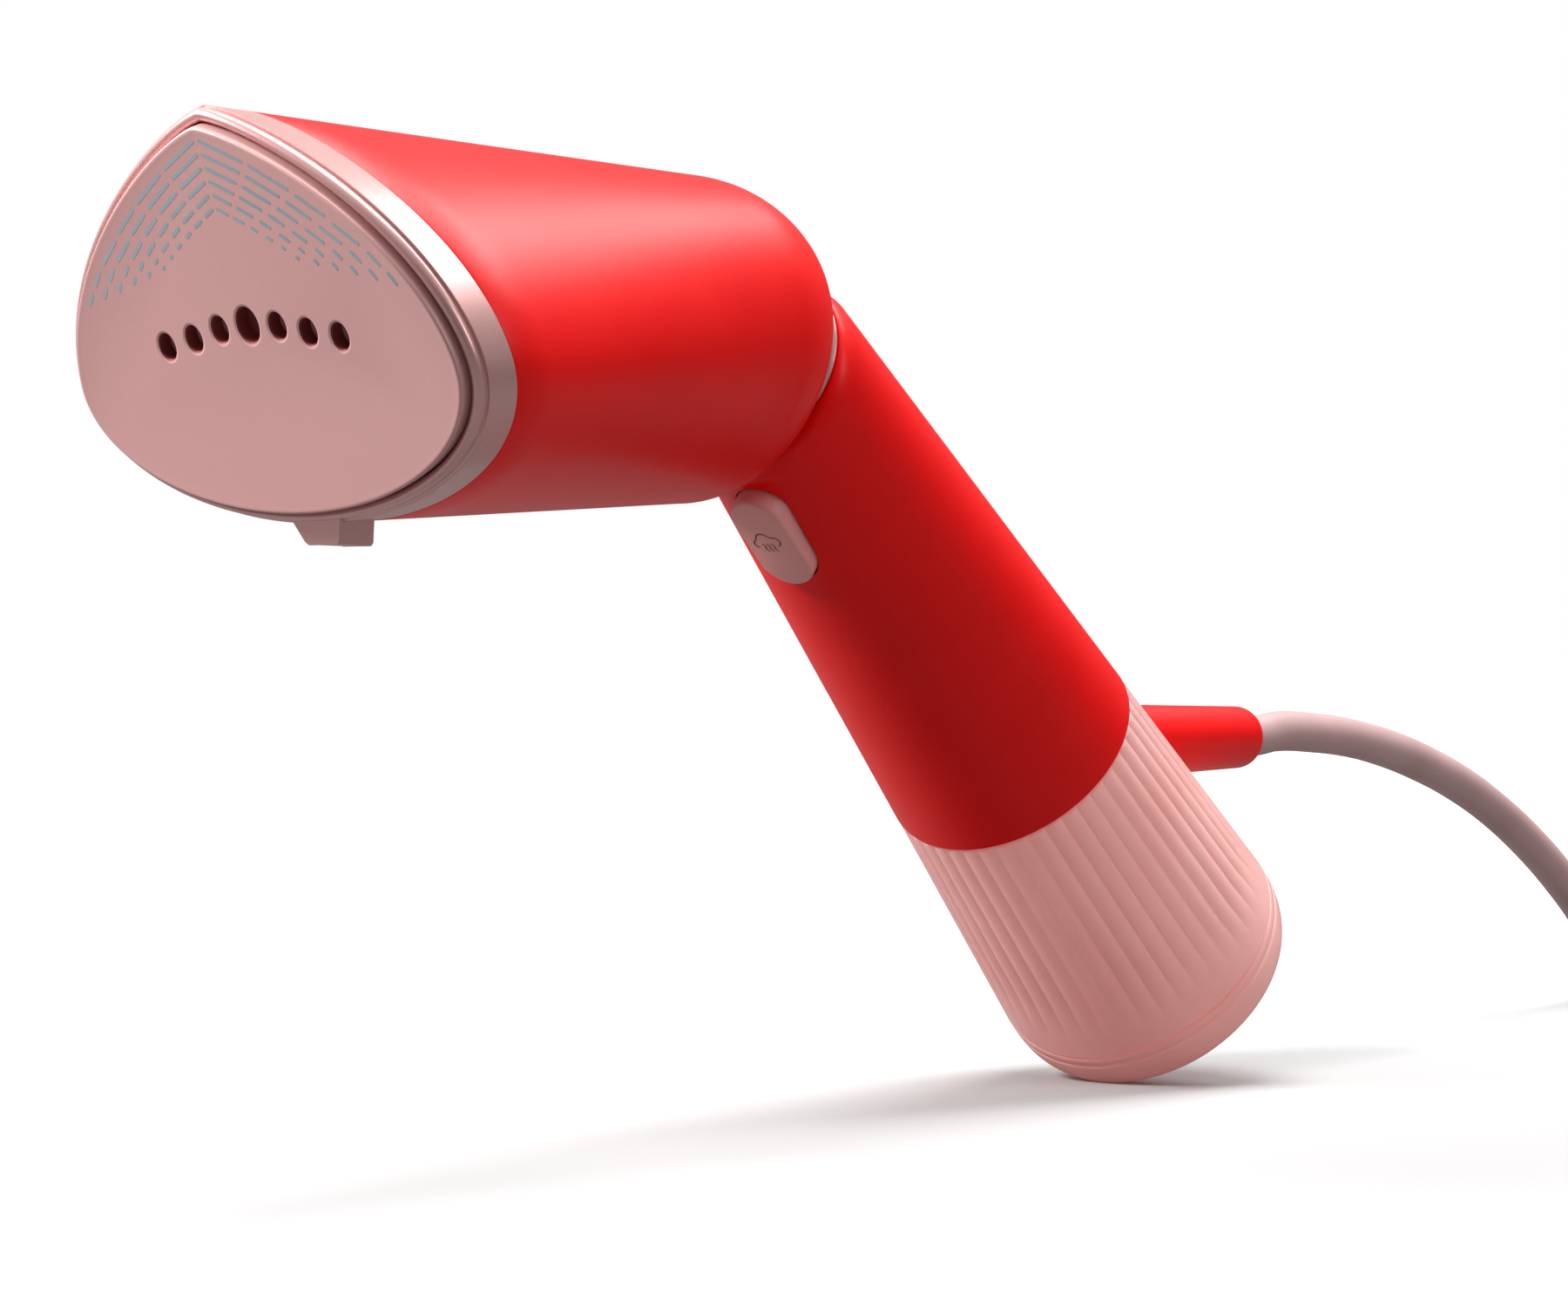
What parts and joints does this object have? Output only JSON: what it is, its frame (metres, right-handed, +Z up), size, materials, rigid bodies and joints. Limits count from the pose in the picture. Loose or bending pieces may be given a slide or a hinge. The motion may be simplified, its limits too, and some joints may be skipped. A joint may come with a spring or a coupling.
{
  "type": "garment steamer",
  "caption": "Handheld garment steamer: drop-shaped steam head on a swivel collar, tapered grip with trigger button, pump, pull-off water tank and corded plug.",
  "frame": {"origin": "on the handle axis in the middle of the grip, where the hand holds it", "axes": "+Y runs from the steam head to the back, where the cord leaves; +Z is up with the head level; +X is to the right of someone facing +Y"},
  "size_m": [0.1375, 0.6364, 0.1719],
  "materials": {
    "shell": "red soft-touch satin",
    "bezel": "pink metallic satin",
    "plate_coat": "pink ceramic coat on die-cast aluminium",
    "casting": "as cast",
    "steel": "bright",
    "brass": "plain",
    "silicone": "translucent silicone",
    "gasket": "matt",
    "black_plastic": "moulded",
    "tank": "translucent pink, polished",
    "board": "circuit board",
    "winding": "enamelled copper wire",
    "lead": "silicone insulation",
    "cord": "pinkish grey sheath",
    "button": "pink satin"
  },
  "bodies": {
    "handle": {"handle_shell": "shell", "wave_washer": "steel", "swivel_bearing": "black_plastic", "switch_carrier": "black_plastic", "micro_switch": "black_plastic", "control_board": "board", "pump_body": "black_plastic", "pump_coil": "winding", "outlet_hose": "silicone", "suction_hose": "silicone", "handle_lead_left": "lead", "handle_lead_right": "lead", "bulkhead": "black_plastic", "cord_clamp": "black_plastic", "clamp_bolt_left": "steel", "clamp_bolt_right": "steel", "terminal_block": "lead", "strain_relief": "shell", "inner_cord": "cord", "button_spring": "steel", "pump_spring": "steel", "power_cord": "cord", "cord_coil": "cord", "cord_tail": "cord", "cord_tie": "gasket", "plug_body": "cord", "plug_blade_left": "brass", "plug_blade_right": "brass"},
    "head": {"head_shell": "shell", "front_bezel": "bezel", "chamber_carrier": "black_plastic", "soleplate": "plate_coat", "plate_gasket": "gasket", "steam_chamber": "casting", "heating_element": "steel", "element_clamp": "steel", "clamp_screw_1": "steel", "clamp_screw_2": "steel", "clamp_screw_3": "steel", "inlet_nozzle": "brass", "thermostat": "black_plastic", "thermal_fuse": "brass", "steam_hose": "silicone", "head_lead_left": "lead", "head_lead_right": "lead", "swivel_ring": "bezel", "swivel_shaft": "black_plastic", "retainer_clip": "steel", "stop_pin": "steel"},
    "button": {"steam_button": "button"},
    "switch_pin": {"switch_plunger": "gasket"},
    "pump_core": {"pump_plunger": "steel"},
    "tank": {"tank_body": "tank", "tank_base": "tank", "tank_deck": "tank", "seal_ring": "gasket", "suction_tube": "silicone", "suction_filter": "steel"},
    "stopper": {"fill_stopper": "silicone"}
  },
  "joints": [
    {"name": "head_swivel", "type": "hinge", "parent": "handle", "child": "head", "pos_m": [0, -0.0464, 0.04112], "axis": [0, -0.935, 0.3547], "range_deg": [0, 180]},
    {"name": "steam_button_press", "type": "slide", "parent": "handle", "child": "button", "axis": [0, 0.6633, 0.7484], "range_m": [0, 0.0012], "stiffness_N_per_m": 900, "springref_m": -0.001, "deforming": ["button_spring"]},
    {"name": "switch_pin_press", "type": "slide", "parent": "handle", "child": "switch_pin", "axis": [0, 0.6633, 0.7484], "range_m": [0, 0.0012]},
    {"name": "pump_stroke", "type": "slide", "parent": "handle", "child": "pump_core", "axis": [0, 0.7484, -0.6633], "range_m": [0, 0.003], "stiffness_N_per_m": 700, "springref_m": -0.0005, "deforming": ["pump_spring"]},
    {"name": "tank_pull", "type": "slide", "parent": "handle", "child": "tank", "axis": [0, 0.7484, -0.6633], "range_m": [0, 0.08]},
    {"name": "stopper_pull", "type": "slide", "parent": "tank", "child": "stopper", "axis": [0, -0.7484, 0.6633], "range_m": [0, 0.0052]}
  ],
  "couplings": [
    {"joint": "switch_pin_press", "follows": "steam_button_press", "ratio": 1}
  ]
}
